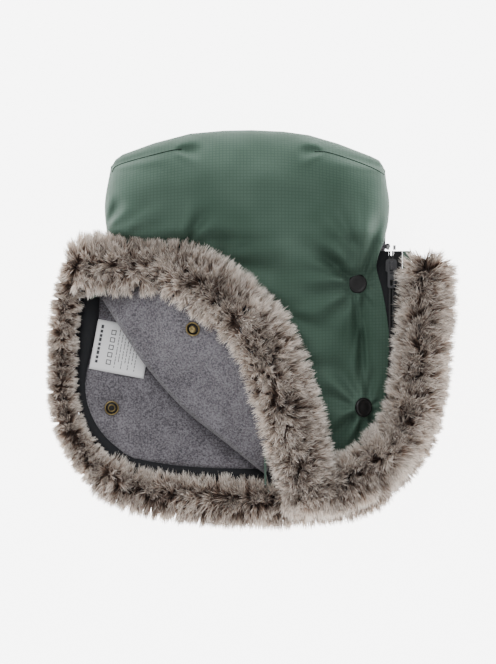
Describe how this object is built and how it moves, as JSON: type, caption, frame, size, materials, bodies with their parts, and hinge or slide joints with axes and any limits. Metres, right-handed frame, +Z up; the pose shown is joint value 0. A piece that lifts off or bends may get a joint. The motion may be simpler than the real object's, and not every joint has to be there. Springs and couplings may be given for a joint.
{
  "type": "hand muff",
  "caption": "Quilted pram hand muff with fleece lining, snap-closed flaps and a zip-on faux-fur trim, one front corner folded open",
  "frame": {"origin": "centre of the bounding box in plan, on the surface the muff lies on", "axes": "+X across the muff to the side with the zip slider, +Y from the open hem to the closed crown, +Z up through the thickness"},
  "size_m": [0.424, 0.3959, 0.0876],
  "materials": {
    "green_ripstop": "coated nylon ripstop with a fine grid of heavier threads, slight sheen",
    "wadding": "bonded polyester wadding, hidden",
    "grey_fleece": "brushed polyester fleece, short matt nap",
    "black_tape": "woven polyester zip tape",
    "black_coil": "nylon coil teeth",
    "green_backing": "folded ripstop strip the pile is sewn to",
    "faux_fur": "long acrylic pile, dark roots, brown middle and pale tips",
    "black_cap": "moulded snap cap, satin face with a polished rim",
    "brass": "pressed brass, lightly worn",
    "label_satin": null,
    "stop_metal": "crimped bright metal stop",
    "gunmetal": "die-cast zinc with dark gunmetal plating"
  },
  "bodies": {
    "back": {"back_shell": "green_ripstop", "back_wadding": "wadding", "back_lining": "grey_fleece", "back_zip_tape": "black_tape", "back_zip_coil": "black_coil", "back_fur_tape": "black_tape", "back_fur_backing": "green_backing", "back_fur": "faux_fur", "snap_sockets": "brass", "snap_posts": "black_cap", "care_label": "label_satin", "hole_bindings": "grey_fleece"},
    "front": {"front_shell": "green_ripstop", "front_wadding": "wadding", "front_lining": "grey_fleece", "front_zip_tape": "black_tape", "front_zip_coil": "black_coil", "front_fur_tape": "black_tape", "front_fur_backing": "green_backing", "front_fur": "faux_fur", "front_caps": "black_cap", "front_studs": "brass", "top_stops": "stop_metal"},
    "corner": {"corner_shell": "green_ripstop", "corner_wadding": "wadding", "corner_lining": "grey_fleece", "corner_zip_tape": "black_tape", "corner_zip_coil": "black_coil", "corner_fur_tape": "black_tape", "corner_fur_backing": "green_backing", "corner_fur": "faux_fur", "corner_cap": "black_cap", "corner_stud": "brass"},
    "slider": {"zip_slider": "gunmetal"},
    "pull": {"zip_pull": "gunmetal"}
  },
  "joints": [
    {"name": "front_lift", "type": "hinge", "parent": "back", "child": "front", "pos_m": [-0.012, 0.0845, 0.084], "axis": [-1, 0, 0], "range_deg": [0, 105]},
    {"name": "corner_fold", "type": "hinge", "parent": "front", "child": "corner", "pos_m": [-0.112, -0.0425, 0.0287], "axis": [0.6845, -0.729, 0], "range_deg": [0, 158]},
    {"name": "slider_travel", "type": "slide", "parent": "front", "child": "slider", "axis": [0, 1, 0], "range_m": [-0.13, 0.008]},
    {"name": "pull_swing", "type": "hinge", "parent": "slider", "child": "pull", "pos_m": [0.128, 0.0615, 0.03125], "axis": [-1, 0, 0], "range_deg": [0, 120]}
  ]
}
